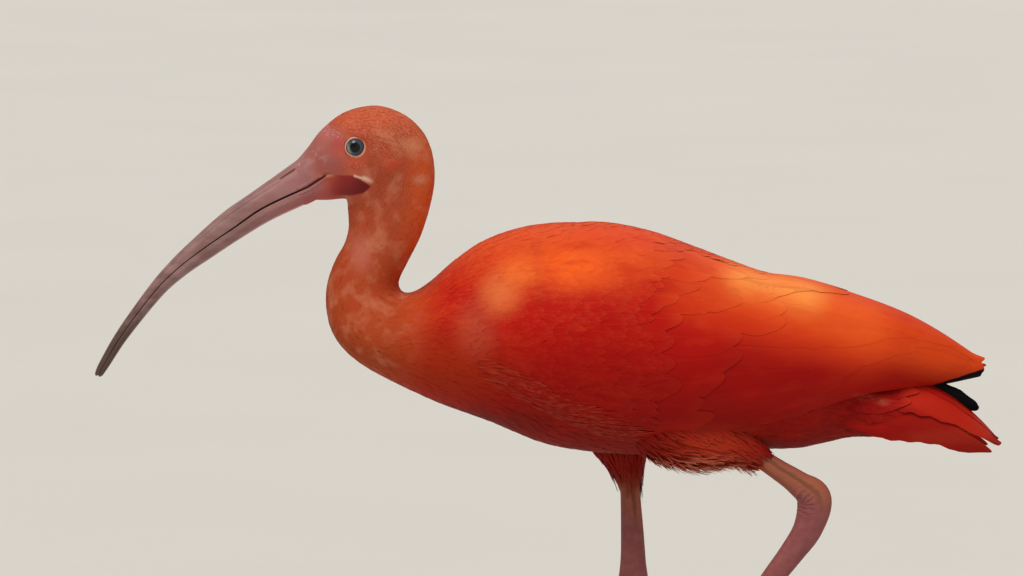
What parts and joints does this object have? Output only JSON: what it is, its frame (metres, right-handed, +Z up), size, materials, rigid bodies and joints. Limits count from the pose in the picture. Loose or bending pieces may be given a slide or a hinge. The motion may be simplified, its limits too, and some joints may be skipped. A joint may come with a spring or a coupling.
{
  "type": "wading bird figure",
  "caption": "Life-size scarlet wading bird with a long down-curved bill, stepping forward on two thin legs, wings folded.",
  "frame": {"origin": "on the floor, under the middle of the bird's length and width", "axes": "-X is where the bill points, -Y is the bird's left side, +Z is up"},
  "size_m": [0.4243, 0.1158, 0.3218],
  "materials": {
    "plumage": "matt scarlet feathers",
    "head_plumage": "soft salmon-red feathers",
    "bill_horn": "satin greyish pink horn",
    "leg_skin": "satin rosy scaled skin",
    "claw_horn": "satin dark horn",
    "eye_gloss": "wet gloss"
  },
  "bodies": {
    "root": {"bill_lower": "bill_horn", "bill_upper": "bill_horn", "claw_left_hind": "claw_horn", "claw_left_inner": "claw_horn", "claw_left_middle": "claw_horn", "claw_left_outer": "claw_horn", "claw_right_hind": "claw_horn", "claw_right_inner": "claw_horn", "claw_right_middle": "claw_horn", "claw_right_outer": "claw_horn", "eye_left": "eye_gloss", "eye_right": "eye_gloss", "head": "head_plumage", "neck_lower": "head_plumage", "neck_upper": "head_plumage", "shank_left": "leg_skin", "shank_right": "leg_skin", "tail": "plumage", "tarsus_left": "leg_skin", "tarsus_right": "leg_skin", "thigh_left": "plumage", "thigh_right": "plumage", "toe_left_hind": "leg_skin", "toe_left_inner": "leg_skin", "toe_left_middle": "leg_skin", "toe_left_outer": "leg_skin", "toe_right_hind": "leg_skin", "toe_right_inner": "leg_skin", "toe_right_middle": "leg_skin", "toe_right_outer": "leg_skin", "torso": "plumage", "wing_left": "plumage", "wing_right": "plumage"}
  },
  "joints": []
}
